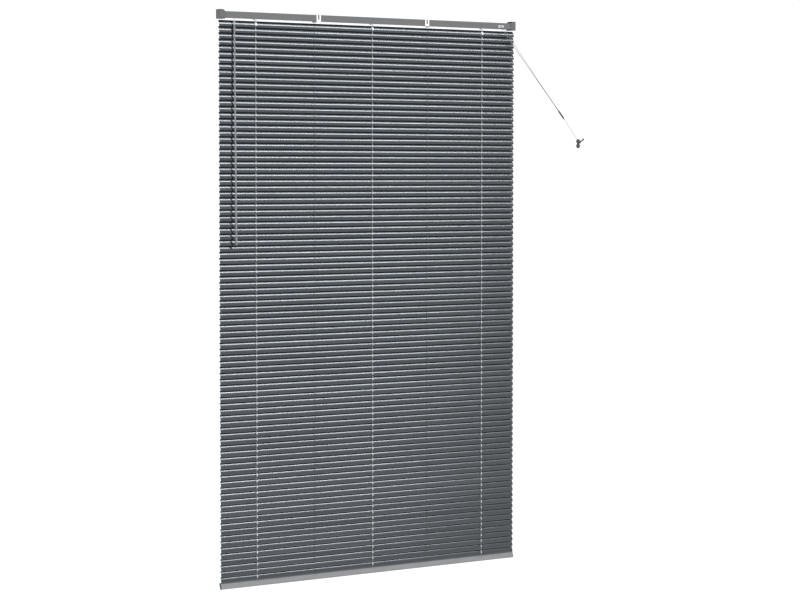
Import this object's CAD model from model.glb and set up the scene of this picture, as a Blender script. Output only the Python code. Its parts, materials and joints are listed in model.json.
# %% [markdown]
# A closed venetian blind: thin curved aluminium slats on cord ladders, a steel headrail between
# two box brackets, a wand that tilts the slats and pull cords that run to a cleat on the wall.
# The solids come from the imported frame. This lesson adds the finishes and the thin, repeated
# things, the slats, ladders and cords, that solids show only in outline.

# %% Load the frame
import json
import math

import bmesh
import bpy
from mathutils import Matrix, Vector


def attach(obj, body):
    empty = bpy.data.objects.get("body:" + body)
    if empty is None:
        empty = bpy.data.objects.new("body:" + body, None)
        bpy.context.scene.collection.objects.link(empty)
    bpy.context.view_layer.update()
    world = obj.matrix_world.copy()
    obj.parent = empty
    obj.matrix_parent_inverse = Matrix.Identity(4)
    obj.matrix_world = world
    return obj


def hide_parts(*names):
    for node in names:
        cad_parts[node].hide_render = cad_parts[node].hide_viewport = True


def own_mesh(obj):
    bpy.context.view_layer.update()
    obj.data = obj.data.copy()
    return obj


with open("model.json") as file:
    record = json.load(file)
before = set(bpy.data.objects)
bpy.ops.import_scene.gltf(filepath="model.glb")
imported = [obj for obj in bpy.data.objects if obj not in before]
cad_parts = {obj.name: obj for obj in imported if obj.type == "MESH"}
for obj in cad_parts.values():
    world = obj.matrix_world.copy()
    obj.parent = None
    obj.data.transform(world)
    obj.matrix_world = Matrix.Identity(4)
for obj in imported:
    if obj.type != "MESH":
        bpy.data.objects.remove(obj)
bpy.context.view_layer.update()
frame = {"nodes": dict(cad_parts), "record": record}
nodes = frame["nodes"]
MM = 0.001
print("frame with", len(nodes), "nodes")

# %% [markdown]
# The photograph was taken from the left of the blind with a long lens, a little below its top.
# A camera that looks slightly down gives the same outline to about half a pixel, and it needs no
# lens shift, which would push the blind out of the middle of every other view.


# %% Camera
def placed(name, data):
    thing = bpy.data.objects.new(name, data)
    bpy.context.scene.collection.objects.link(thing)
    return thing


TURN, DOWN = math.radians(34.102), math.radians(3.021)
LENS_MM, SENSOR_MM = 108.12, 36
EYE, SIGHT = (-5.2227, -7.9102, -0.6174), 100
camera = placed("camera", bpy.data.cameras.new("camera"))
camera.data.lens = LENS_MM
camera.data.sensor_width = SENSOR_MM
camera.data.clip_end = SIGHT
camera.location = EYE
camera.rotation_euler = (math.pi / 2 - DOWN, 0, -TURN)
bpy.context.scene.camera = camera
print("camera at", tuple(round(c, 2) for c in camera.location))

# %% [markdown]
# Node trees read best when their sums look like sums. One small class wraps an output socket:
# its operators add Math nodes, and one method adds any other node. It works in shader trees and
# in geometry trees alike.


# %% Sums that write nodes
class Wire:
    def __init__(self, tree, socket=None):
        self.tree = tree
        self.socket = socket

    def node(self, kind, settings=None, inputs=None, out=0):
        made = self.tree.nodes.new(kind)
        for name, value in (settings or {}).items():
            if name == "stops":
                ramp = made.color_ramp.elements
                for element, (place, colour) in zip(ramp, value):
                    element.position = place
                    element.color = (*colour, 1)
            else:
                setattr(made, name, value)
        for key, value in (inputs or {}).items():
            for item in value if isinstance(value, list) else [value]:
                if isinstance(item, Wire):
                    self.tree.links.new(item.socket, made.inputs[key])
                else:
                    made.inputs[key].default_value = item
        return Wire(self.tree, made.outputs[out])

    def pick(self, name):
        return Wire(self.tree, self.socket.node.outputs[name])

    def math(self, operation, a, b=0.0):
        return self.node("ShaderNodeMath", {"operation": operation}, {0: a, 1: b})

    def __add__(self, other):
        return self.math("ADD", self, other)

    def __radd__(self, other):
        return self.math("ADD", other, self)

    def __sub__(self, other):
        return self.math("SUBTRACT", self, other)

    def __rsub__(self, other):
        return self.math("SUBTRACT", other, self)

    def __mul__(self, other):
        return self.math("MULTIPLY", self, other)

    def __rmul__(self, other):
        return self.math("MULTIPLY", other, self)


print("sums ready")

# %% [markdown]
# Most finishes here share one recipe: a base colour that drifts a little over the surface, a
# roughness that varies with the grain, and a fine bump. The drift is what keeps paint, plastic
# and lacquer from looking like one flat colour. Object coordinates keep the pattern on the piece.


# %% Finishes for paint, plastic and metal
GRAINS_A_PATCH = 12
ROUGH_SPREAD = 0.06
RELIEF = 0.2 * MM


def tone(colour, factor):
    return tuple(min(1, c * factor) for c in colour)


def surface(name, colour, rough, grain, metal=0.0, drift=0.1, bump=0.1, stretch=(1, 1, 1),
            extra=None):
    material = bpy.data.materials.new(name)
    material.use_nodes = True
    tree = material.node_tree
    shader = tree.nodes["Principled BSDF"]
    wire = Wire(tree)
    place = wire.node("ShaderNodeTexCoord", out="Object")
    drawn = wire.node("ShaderNodeMapping", {}, {"Vector": place, "Scale": stretch})
    broad = wire.node("ShaderNodeTexNoise", {},
                      {"Vector": drawn, "Scale": grain / GRAINS_A_PATCH, "Detail": 3.0})
    fine = wire.node("ShaderNodeTexNoise", {}, {"Vector": drawn, "Scale": grain, "Detail": 2.0})
    stops = [(0.3, tone(colour, 1 - drift)), (0.7, tone(colour, 1 + drift))]
    mixed = wire.node("ShaderNodeValToRGB", {"stops": stops}, {"Fac": broad})
    if extra:
        mixed = extra(wire, mixed)
    tree.links.new(mixed.socket, shader.inputs["Base Color"])
    varied = rough - ROUGH_SPREAD + 2 * ROUGH_SPREAD * fine
    tree.links.new(varied.socket, shader.inputs["Roughness"])
    shader.inputs["Metallic"].default_value = metal
    if bump:
        lifted = wire.node("ShaderNodeBump", {},
                           {"Strength": bump, "Distance": RELIEF, "Height": fine})
        tree.links.new(lifted.socket, shader.inputs["Normal"])
    return material


ALONG_RAIL = (0.2, 1, 1)
rail_paint = surface("rail_paint", (0.081, 0.084, 0.087), 0.42, 900, drift=0.06,
                     stretch=ALONG_RAIL)
bracket_paint = surface("bracket_paint", (0.068, 0.071, 0.074), 0.42, 900, drift=0.08)
foot_paint = surface("foot_paint", (0.145, 0.151, 0.156), 0.40, 900, drift=0.06,
                     stretch=ALONG_RAIL)
plated_steel = surface("plated_steel", (0.52, 0.54, 0.56), 0.28, 1500, metal=1.0, bump=0.05)
white_plastic = surface("white_plastic", (0.60, 0.62, 0.63), 0.45, 700, drift=0.04)
grey_plastic = surface("grey_plastic", (0.20, 0.21, 0.22), 0.5, 700, drift=0.08)
dark_plastic = surface("dark_plastic", (0.022, 0.024, 0.027), 0.42, 700, drift=0.2)
print("plain finishes ready")

# %% [markdown]
# The slats are rolled from lacquered aluminium strip. Each one gets its own slight tone, which
# the geometry tree stores as an attribute, because strip from one coil still varies. Long streaks
# follow the rolling direction.


# %% Lacquer of the slats
def slat_tone(wire, colour):
    own = wire.node("ShaderNodeAttribute", {"attribute_name": "slat_tone"}, out="Fac")
    grey = wire.node("ShaderNodeCombineColor", {}, {0: own, 1: own, 2: own})
    return wire.node("ShaderNodeMix", {"data_type": "RGBA", "blend_type": "MULTIPLY"},
                     {0: 1.0, 6: colour, 7: grey}, out=2)


ALONG_SLAT = (0.03, 1, 1)
slat_lacquer = surface("slat_lacquer", (0.071, 0.078, 0.085), 0.17, 600, metal=0.9, drift=0.07,
                       bump=0.008, stretch=ALONG_SLAT, extra=slat_tone)
print("lacquer ready")

# %% [markdown]
# The wand is a hexagonal rod of smoky acrylic. The slats behind it show through as light and dark
# bands, so it needs real transmission. That is the same all over, so it sits on the shader itself.

# %% Acrylic of the wand
wand_plastic = surface("wand_plastic", (0.27, 0.285, 0.30), 0.12, 500, drift=0.04, bump=0.0)
acrylic = wand_plastic.node_tree.nodes["Principled BSDF"]
acrylic.inputs["Transmission Weight"].default_value = 0.5
acrylic.inputs["IOR"].default_value = 1.49
print("acrylic ready")

# %% [markdown]
# Cord is a fine braid. The tubes below carry a UV map, once round for u and one unit a diameter
# for v, so two crossing waves on it give the diagonal strands at their real size.


# %% Braid of the cords
STRANDS_ROUND = 4


def braid(name, colour):
    material = bpy.data.materials.new(name)
    material.use_nodes = True
    tree = material.node_tree
    shader = tree.nodes["Principled BSDF"]
    wire = Wire(tree)
    uv = wire.node("ShaderNodeTexCoord", out="UV")
    split = wire.node("ShaderNodeSeparateXYZ", {}, {0: uv})
    around, along = split.pick("X"), split.pick("Y")
    left = wire.math("SINE", (around * STRANDS_ROUND + along) * math.tau)
    right = wire.math("SINE", (around * STRANDS_ROUND - along) * math.tau)
    strand = 0.5 + 0.5 * wire.math("MAXIMUM", left, right)
    stops = [(0.1, tone(colour, 0.6)), (0.8, tone(colour, 1.1))]
    shade = wire.node("ShaderNodeValToRGB", {"stops": stops}, {"Fac": strand})
    tree.links.new(shade.socket, shader.inputs["Base Color"])
    tree.links.new((0.85 - 0.15 * strand).socket, shader.inputs["Roughness"])
    lifted = wire.node("ShaderNodeBump", {},
                       {"Strength": 0.5, "Distance": RELIEF, "Height": strand})
    tree.links.new(lifted.socket, shader.inputs["Normal"])
    return material


light_cord = braid("light_cord", (0.12, 0.124, 0.128))
ladder_cord = braid("ladder_cord", (0.34, 0.36, 0.375))
dark_cord = braid("dark_cord", (0.06, 0.065, 0.07))
print("braids ready")

# %% [markdown]
# A cord is a tube swept along a smooth curve. A curve object would do, but a mesh can carry the
# braid's UV map, so the rings are laid by hand: the frame of each ring is carried on from the one
# before it, which keeps the tube from twisting.


# %% Swept tubes
CURVE_STEPS = 6


def smooth(points):
    points = [Vector(p) for p in points]
    ends = [2 * points[0] - points[1]] + points + [2 * points[-1] - points[-2]]
    path = []
    for a, b, c, d in zip(ends, ends[1:], ends[2:], ends[3:]):
        for k in range(CURVE_STEPS):
            t = k / CURVE_STEPS
            path.append(0.5 * (2 * b + (c - a) * t + (2 * a - 5 * b + 4 * c - d) * t * t
                               + (3 * b - a - 3 * c + d) * t ** 3))
    return path + [points[-1]]


def tube(name, path, radius, material, sides=10):
    mesh = bmesh.new()
    uv = mesh.loops.layers.uv.new("UVMap")
    side = None
    rings, travel, run = [], [0.0], 0.0
    for i, at in enumerate(path):
        ahead = (path[min(i + 1, len(path) - 1)] - path[max(i - 1, 0)]).normalized()
        if side is None:
            side = ahead.orthogonal().normalized()
        side = (side - ahead * side.dot(ahead)).normalized()
        other = ahead.cross(side)
        turns = [k * math.tau / sides for k in range(sides)]
        rings.append([mesh.verts.new(at + radius * (math.cos(a) * side + math.sin(a) * other))
                      for a in turns])
        if i:
            run += (at - path[i - 1]).length
            travel.append(run)
    for i in range(len(rings) - 1):
        for k in range(sides):
            n = (k + 1) % sides
            face = mesh.faces.new((rings[i][k], rings[i][n], rings[i + 1][n], rings[i + 1][k]))
            face.smooth = True
            for loop, u, v in zip(face.loops, (k, k + 1, k + 1, k), (i, i, i + 1, i + 1)):
                loop[uv].uv = (u / sides, travel[v] / (2 * radius))
    mesh.faces.new(list(reversed(rings[0])))
    mesh.faces.new(rings[-1])
    data = bpy.data.meshes.new(name)
    mesh.to_mesh(data)
    mesh.free()
    data.materials.append(material)
    return placed(name, data), run


print("tubes ready")

# %% [markdown]
# Three pull cords leave the cord lock through a slot in the headrail's front, run taut down to the
# right and meet in a slim connector. One tail cord goes on from it to the cleat. The routes are
# those of the solids, in millimetres.

# %% Pull cords and tail cord
PULL_ROUTES = [
    [(613, -13, -22), (613, -15.5, -22.4), (614, -17.8, -24.2), (617, -19, -28.5),
     (643, -18, -58), (674, -16.5, -92.5), (705, -15, -126.5), (736, -13.5, -160),
     (767, -12, -193), (798, -10.5, -226), (829, -9, -259), (859.5, -7.3, -290.5),
     (888, -5.7, -321.5), (908, -4.7, -343.5), (923.6, -4, -360.5)],
    [(621, -13, -22), (621, -15.5, -22.4), (622, -17.5, -24), (625, -18.5, -28),
     (650, -17.5, -57), (680, -16, -91), (710, -14.5, -125), (740, -13, -158),
     (770, -11.5, -191), (800, -10, -224), (830, -8.5, -257), (860, -7, -289),
     (889, -5.5, -320.5), (909, -4.5, -342.5), (924.8, -4, -359.4)],
    [(629, -13, -22), (629, -15.5, -22.4), (630, -17.2, -23.8), (633, -18, -27.5),
     (657, -17, -56), (686, -15.5, -89.5), (715, -14, -123), (744, -12.6, -156),
     (773, -11, -189), (802, -9.6, -222), (831, -8, -255), (860.5, -6.7, -287.5),
     (890, -5.3, -319.5), (910, -4.3, -341.5), (926, -4, -358.3)],
]
TAIL_ROUTE = [
    (955.9, -2.6, -394.1), (963, -2, -402), (972, -1.2, -412), (981, -0.4, -422),
    (990, 0.5, -432), (999, 1.4, -442), (1008, 2.3, -452), (1017, 3.3, -462),
    (1026, 4.3, -472), (1033, 5.1, -480), (1039, 5.9, -486.9),
]
PULL_LENGTHS = (0.464, 0.458, 0.453)
PULL_D, TAIL_D = 0.0014, 0.0018
for number, (route, length) in enumerate(zip(PULL_ROUTES, PULL_LENGTHS), 1):
    path = smooth([Vector(p) * MM for p in route])
    pull, run = tube("pull_cord_braid_%d" % number, path, PULL_D / 2, light_cord)
    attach(pull, "frame")
    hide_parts("pull_cord_%d" % number)
    print("pull cord", number, round(run, 4), "m")
path = smooth([Vector(p) * MM for p in TAIL_ROUTE])
tail, run = tube("tail_cord_braid", path, TAIL_D / 2, light_cord)
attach(tail, "frame")
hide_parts("tail_cord")
print("tail cord", round(run, 4), "m")

# %% [markdown]
# Ninety-three slats are one shape repeated, which is what Geometry Nodes are for. Slats, ladders
# and lift cords share a few sizes: the slats' pitch and tilt, and five stations along the blind,
# each with a ladder to the left of it and, at every second one, a lift cord to the right.

# %% Sizes of the slats and ladders
TILT = math.radians(70)
SLAT_L, SLAT_W, SLAT_CROWN, SLAT_T = 1385 * MM, 25 * MM, 2.4 * MM, 0.2 * MM
SLAT_BEND = (SLAT_W ** 2 / 4 + SLAT_CROWN ** 2) / (2 * SLAT_CROWN)
SLAT_COUNT, SLAT_PITCH, FIRST_Z = 93, 23 * MM, -52 * MM
FOOT_Z = FIRST_Z - SLAT_COUNT * SLAT_PITCH
STATION_STEP = 266 * MM
STATIONS = [(i - 2) * STATION_STEP for i in range(5)]
CORD_STATIONS = (0, 2, 4)
LANE = 2.2 * MM
LIFT_Y = -SLAT_CROWN * math.sin(TILT)
print("last slat at", round(FIRST_Z - (SLAT_COUNT - 1) * SLAT_PITCH, 4))

# %% [markdown]
# A tree with named inputs can be read and tried out in Blender like any other. The modifier takes
# its values by the sockets' identifiers. Its result then becomes a plain mesh, because the export
# keeps meshes and not trees.


# %% A geometry tree with named inputs
def geometry_tree(name, sizes):
    tree = bpy.data.node_groups.new(name, "GeometryNodeTree")
    face = tree.interface
    face.new_socket(name="Geometry", in_out="OUTPUT", socket_type="NodeSocketGeometry")
    keys = {}
    for label, value in sizes.items():
        plain = {int: "NodeSocketInt", float: "NodeSocketFloat"}
        kind = plain.get(type(value), "NodeSocketMaterial")
        keys[label] = face.new_socket(name=label, in_out="INPUT", socket_type=kind).identifier
    group = tree.nodes.new("NodeGroupInput")
    return tree, keys, {label: Wire(tree, group.outputs[label]) for label in sizes}


def grown(name, tree, keys, sizes, result):
    tree.links.new(result.socket, tree.nodes.new("NodeGroupOutput").inputs[0])
    seed = placed(name + "_seed", bpy.data.meshes.new(name + "_seed"))
    modifier = seed.modifiers.new("grow", "NODES")
    modifier.node_group = tree
    for label, value in sizes.items():
        modifier[keys[label]] = value
    bpy.context.view_layer.update()
    graph = bpy.context.evaluated_depsgraph_get()
    mesh = bpy.data.meshes.new_from_object(seed.evaluated_get(graph),
                                           preserve_all_data_layers=True, depsgraph=graph)
    mesh.name = name
    seed.modifiers.remove(modifier)
    bpy.data.objects.remove(seed)
    print(name, len(mesh.vertices), "vertices", len(mesh.polygons), "faces")
    return placed(name, mesh)


print("trees ready")

# %% [markdown]
# One slat is a flat grid, bent to an arc across its width. Towards its long edges the ends are
# drawn in along a quarter circle, which rounds the corners. A copy of the sheet is raised by the
# strip's thickness and joined to the first one.

# %% One slat
slat_sizes = {"Length": SLAT_L, "Width": SLAT_W, "Crown": SLAT_CROWN, "Thickness": SLAT_T,
              "Pitch": SLAT_PITCH, "Count": SLAT_COUNT, "Corner": 4 * MM, "Lacquer": slat_lacquer}
tree, keys, size = geometry_tree("slat_row", slat_sizes)
wire = Wire(tree)
crown, corner, thick = size["Crown"], size["Corner"], size["Thickness"]
half_w = size["Width"] * 0.5
bend_r = (half_w * half_w + crown * crown) * wire.math("DIVIDE", 0.5, crown)
sheet = wire.node("GeometryNodeMeshGrid", {}, {"Size X": size["Length"], "Size Y": size["Width"],
                                               "Vertices X": 2, "Vertices Y": 17})
spot = wire.node("ShaderNodeSeparateXYZ", {}, {0: wire.node("GeometryNodeInputPosition")})
x, y = spot.pick("X"), spot.pick("Y")
into = wire.math("MAXIMUM", wire.math("ABSOLUTE", y) - (half_w - corner), 0.0)
pull_in = corner - wire.math("SQRT", corner * corner - into * into)
rise = wire.math("SQRT", bend_r * bend_r - y * y) - (bend_r - crown) - 0.5 * thick
bent = wire.node("ShaderNodeCombineXYZ", {},
                 {0: x - wire.math("SIGN", x) * pull_in, 1: y, 2: rise})
sheet = wire.node("GeometryNodeSetPosition", {}, {"Geometry": sheet, "Position": bent})
upper = wire.node("GeometryNodeExtrudeMesh", {"mode": "FACES"},
                  {"Mesh": sheet, "Offset Scale": thick, "Individual": False})
under = wire.node("GeometryNodeFlipFaces", {}, {0: sheet})
strip = wire.node("GeometryNodeJoinGeometry", {}, {0: [upper, under]})
strip = wire.node("GeometryNodeMergeByDistance", {}, {"Geometry": strip, "Distance": 1e-6})
print("slat bent to a radius of", round(SLAT_BEND, 4), "m")

# %% [markdown]
# The lift cords pass through a slot in every slat. Three punches on a line cut all the slots of
# one slat at once, before it is repeated.

# %% Slots for the lift cords
PUNCH = (3.2 * MM, 6.4 * MM, 8 * MM)
PUNCH_Z = 2 * MM
punch = wire.node("GeometryNodeMeshCube", {}, {"Size": PUNCH})
spots = wire.node("GeometryNodeMeshLine", {},
                  {"Count": len(CORD_STATIONS), "Start Location": (STATIONS[0] + LANE, 0, PUNCH_Z),
                   "Offset": (2 * STATION_STEP, 0, 0)})
holes = wire.node("GeometryNodeInstanceOnPoints", {}, {"Points": spots, "Instance": punch})
holes = wire.node("GeometryNodeRealizeInstances", {}, {0: holes})
strip = wire.node("GeometryNodeMeshBoolean", {"operation": "DIFFERENCE"}, {0: strip, 1: holes})
print(len(CORD_STATIONS), "slots in each slat")

# %% [markdown]
# Copies of the slat go down a line. Each one leans by a fraction of a degree, as slats on cords
# do, and carries its own tone. Steep edges stay sharp, so that the strip keeps its thin rim.

# %% The row of slats
LEAN_SWAY, TURN_SWAY, TONE_SWAY = 0.006, 0.0002, 0.07
SHARP = 0.6


def chance(middle, sway, seed):
    return wire.node("FunctionNodeRandomValue", {"data_type": "FLOAT"},
                     {2: middle - sway, 3: middle + sway, "Seed": seed}, out=1)


drop = wire.node("ShaderNodeCombineXYZ", {}, {2: 0 - size["Pitch"]})
row = wire.node("GeometryNodeMeshLine", {},
                {"Count": size["Count"], "Start Location": (0, 0, FIRST_Z), "Offset": drop})
lean = wire.node("ShaderNodeCombineXYZ", {},
                 {0: TILT + chance(0, LEAN_SWAY, 4), 2: chance(0, TURN_SWAY, 9)})
blades = wire.node("GeometryNodeInstanceOnPoints", {},
                   {"Points": row, "Instance": strip, "Rotation": lean})
blades = wire.node("GeometryNodeStoreNamedAttribute",
                   {"data_type": "FLOAT", "domain": "INSTANCE"},
                   {"Geometry": blades, "Name": "slat_tone", "Value": chance(1, TONE_SWAY, 21)})
blades = wire.node("GeometryNodeRealizeInstances", {}, {0: blades})
steep = wire.node("FunctionNodeCompare", {"operation": "GREATER_THAN"},
                  {0: wire.node("GeometryNodeInputMeshEdgeAngle"), 1: SHARP})
blades = wire.node("GeometryNodeSetShadeSmooth", {"domain": "EDGE"},
                   {0: blades, "Selection": steep, "Shade Smooth": False})
blades = wire.node("GeometryNodeSetMaterial", {},
                   {"Geometry": blades, "Material": size["Lacquer"]})
slats = grown("slat_blades", tree, keys, slat_sizes, blades)

# %% [markdown]
# The bottom rail lifts 1.95 m and the slats stack up under the headrail. A squash towards the
# headrail's underside stands for that: what is left of each drop is the stack.


def lifts(piece, slot, *replaced):
    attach(piece, "frame")
    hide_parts(*replaced)
    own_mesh(piece)


lifts(slats, "slat_aluminium", "slats")

# %% [markdown]
# A ladder is two strings with a rung under every slat. The rung leans with its slat. Strings and
# rungs are one more repeated shape, so one tree makes each ladder. The middle ladder's solid is
# one with the slats, so its cords replace no solid of their own.

# %% The ladders
STRING_R, RUNG_R = 0.4 * MM, 0.3 * MM
REACH = SLAT_BEND - math.sin(TILT) * (SLAT_BEND - SLAT_CROWN) + SLAT_T / 2
STRING_Y = REACH + 0.8 * MM
STRING_TOP = -27 * MM
FRONT_END, BACK_END = FOOT_Z + 2.6 * MM, FOOT_Z + 13 * MM
RUNG_V = -0.6 * MM
FRONT_U = (STRING_Y - math.sin(TILT) * RUNG_V) / math.cos(TILT)
BACK_U = -(STRING_Y + math.sin(TILT) * RUNG_V) / math.cos(TILT)


def tilted(u, v):
    return (0, -math.cos(TILT) * u - math.sin(TILT) * v, -math.sin(TILT) * u + math.cos(TILT) * v)


def ladder(number, material):
    sizes = {"Count": SLAT_COUNT, "Pitch": SLAT_PITCH, "String": STRING_R, "Rung": RUNG_R,
             "Cord": material}
    tree, keys, size = geometry_tree("ladder_cords", sizes)
    wire = Wire(tree)
    x = STATIONS[number - 1] - LANE

    def rod(start, end, radius, sides):
        line = wire.node("GeometryNodeCurvePrimitiveLine", {}, {"Start": start, "End": end})
        ring = wire.node("GeometryNodeCurvePrimitiveCircle", {},
                         {"Resolution": sides, "Radius": radius})
        return wire.node("GeometryNodeCurveToMesh", {},
                         {"Curve": line, "Profile Curve": ring, "Fill Caps": True})

    front = rod((x, -STRING_Y, STRING_TOP), (x, -STRING_Y, FRONT_END), size["String"], 8)
    back = rod((x, STRING_Y, STRING_TOP), (x, STRING_Y, BACK_END), size["String"], 8)
    rung = rod(tilted(BACK_U, RUNG_V), tilted(FRONT_U, RUNG_V), size["Rung"], 6)
    drop = wire.node("ShaderNodeCombineXYZ", {}, {2: 0 - size["Pitch"]})
    row = wire.node("GeometryNodeMeshLine", {},
                    {"Count": size["Count"], "Start Location": (x, 0, FIRST_Z), "Offset": drop})
    rungs = wire.node("GeometryNodeInstanceOnPoints", {}, {"Points": row, "Instance": rung})
    joined = wire.node("GeometryNodeJoinGeometry", {}, {0: [front, back, rungs]})
    joined = wire.node("GeometryNodeRealizeInstances", {}, {0: joined})
    joined = wire.node("GeometryNodeSetMaterial", {},
                       {"Geometry": joined, "Material": size["Cord"]})
    return grown("ladder_cord_%d" % number, tree, keys, sizes, joined)


MIDDLE = 3
for number in range(1, len(STATIONS) + 1):
    light = number - 1 in CORD_STATIONS
    cords = ladder(number, ladder_cord if light else dark_cord)
    replaced = [] if number == MIDDLE else ["ladder_%d" % number]
    lifts(cords, "light_cord" if light else "dark_cord", *replaced)

# %% [markdown]
# Each lift cord climbs through the slats from the bottom rail, turns over the edge of its cradle
# and runs along the headrail's floor to the cord lock. It is limp, so the corners are small arcs.

# %% The lift cords
LIFT_R = 0.55 * MM
LIFT_FOOT = FOOT_Z + 1.2 * MM
LANE_Z, LANE_STEP = -30.5 * MM, 2 * MM
LOCK_X = 603.6 * MM
BEND = 2.5 * MM
climb = LANE_Z - BEND - LIFT_FOOT
for number, station in enumerate(CORD_STATIONS, 1):
    x = STATIONS[station] + LANE
    across = LANE_STEP * (len(CORD_STATIONS) - number)
    lane = LIFT_Y + across
    path = [Vector((x, LIFT_Y, LIFT_FOOT + climb * k / SLAT_COUNT)) for k in range(SLAT_COUNT + 1)]
    path += smooth([(x + BEND * 0.3, LIFT_Y + across * 0.3, LANE_Z - BEND * 0.3),
                    (x + BEND, LIFT_Y + across * 0.7, LANE_Z), (x + 3 * BEND, lane, LANE_Z),
                    (LOCK_X, lane, LANE_Z)])
    cord, run = tube("lift_cord_braid_%d" % number, path, LIFT_R, ladder_cord, sides=8)
    lifts(cord, "light_cord", "lift_cord_%d" % number)
    print("lift cord", number, round(run, 3), "m")

# %% [markdown]
# A white eyelet sits where each lift cord enters the first slat. Its solid is right, but it has to
# move up with the slat, so a merged copy of the solid stands for it.

# %% The eyelets
MERGE = 1e-6


def merged_copy(node):
    copy = bmesh.new()
    copy.from_mesh(nodes[node].data)
    bmesh.ops.remove_doubles(copy, verts=copy.verts, dist=MERGE)
    return copy


def finished(name, copy):
    mesh = bpy.data.meshes.new(name)
    copy.to_mesh(mesh)
    copy.free()
    return placed(name, mesh)


for number in range(1, len(CORD_STATIONS) + 1):
    eyelet = finished("eyelet_%d" % number, merged_copy("cord_eyelet_%d" % number))
    eyelet.data.materials.append(white_plastic)
    lifts(eyelet, "white_plastic", "cord_eyelet_%d" % number)
print("eyelets ready")

# %% [markdown]
# The wand swings out on its pin, and the sleeve's square top would then strike the slat behind it.
# A rounded top clears it, so this copy draws the rings above the pin in to a half round. The pin
# lies on the worm's axis, which leans a little.

# %% The wand's sleeve
WAND_LEAN = math.radians(0.7)
WORM_MIDDLE = Vector((-629, -9.1, -18.5)) * MM
PIN_DROP = 41 * MM
SLEEVE_R, DOME_R = 4.2 * MM, 4.5 * MM
RING_HEIGHTS = (0.8, 1.6, 2.3, 2.9, 3.4, 3.8)
UP = Vector((0, math.sin(WAND_LEAN), math.cos(WAND_LEAN)))
ACROSS = UP.cross(Vector((1, 0, 0)))
PIN = WORM_MIDDLE - UP * PIN_DROP
copy = merged_copy("wand_sleeve")
for height in RING_HEIGHTS:
    everything = copy.verts[:] + copy.edges[:] + copy.faces[:]
    bmesh.ops.bisect_plane(copy, geom=everything, dist=1e-7, plane_co=PIN + UP * height * MM,
                           plane_no=UP)
for vert in copy.verts:
    above = (vert.co - PIN).dot(UP)
    if above > 0:
        share = min(1, math.sqrt(max(DOME_R ** 2 - above ** 2, 0)) / SLEEVE_R)
        vert.co -= ACROSS * (vert.co - PIN).dot(ACROSS) * (1 - share)
sleeve = finished("sleeve_dome", copy)
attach(sleeve, "wand")
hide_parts("wand_sleeve")
print("sleeve with", len(sleeve.data.polygons), "faces")

# %% [markdown]
# Every solid that stays in view takes its finish from the slot that the record gives it. The
# rounded sleeve takes the finish of the solid that it replaces.

# %% Finishes on the solids
finishes = {"slat_aluminium": slat_lacquer, "rail_paint": rail_paint,
            "bracket_paint": bracket_paint, "foot_paint": foot_paint,
            "plated_steel": plated_steel, "white_plastic": white_plastic,
            "grey_plastic": grey_plastic, "dark_plastic": dark_plastic,
            "wand_plastic": wand_plastic, "light_cord": light_cord, "dark_cord": dark_cord}
slots = {part["node"]: part["material_slot"] for part in frame["record"]["subparts"]}
for node, slot in slots.items():
    mesh = nodes[node].data
    mesh.materials.clear()
    mesh.materials.append(finishes[slot])
sleeve.data.materials.append(finishes[slots["wand_sleeve"]])
print(len(finishes), "finishes on", len(nodes), "solids")

# %% [markdown]
# The studio is white all round. A long soft strip light high in front draws the bright line along
# each slat's upper part, just below the shadow of the slat above.

# %% Floor and light
FLOOR_Z, FLOOR_HALF = -2.75, 40
STUDIO_LIGHT = 1.1
corners = [(-1, -1), (1, -1), (1, 1), (-1, 1)]
floor_mesh = bpy.data.meshes.new("floor")
floor_mesh.from_pydata([(x * FLOOR_HALF, y * FLOOR_HALF, FLOOR_Z) for x, y in corners], [],
                       [(0, 1, 2, 3)])
floor_mesh.materials.append(surface("pale_floor", (0.93, 0.93, 0.93), 0.9, 3, drift=0.01, bump=0.0))
placed("floor", floor_mesh)
world = bpy.data.worlds.new("white studio")
world.use_nodes = True
backdrop = world.node_tree.nodes["Background"].inputs
backdrop["Color"].default_value = (1, 1, 1, 1)
backdrop["Strength"].default_value = STUDIO_LIGHT
bpy.context.scene.world = world
bpy.context.scene.view_settings.view_transform = "Standard"

STRIP_AT, STRIP_AIM = Vector((0.4, -7.2, 5.5)), Vector((0, 0, -1.1))
lamp = bpy.data.lights.new("front strip", "AREA")
lamp.shape = "RECTANGLE"
lamp.size, lamp.size_y, lamp.energy = 14.0, 1.2, 920
strip_light = placed("front strip", lamp)
strip_light.location = STRIP_AT
strip_light.rotation_euler = (STRIP_AIM - STRIP_AT).to_track_quat("-Z", "Y").to_euler()
print("studio ready")
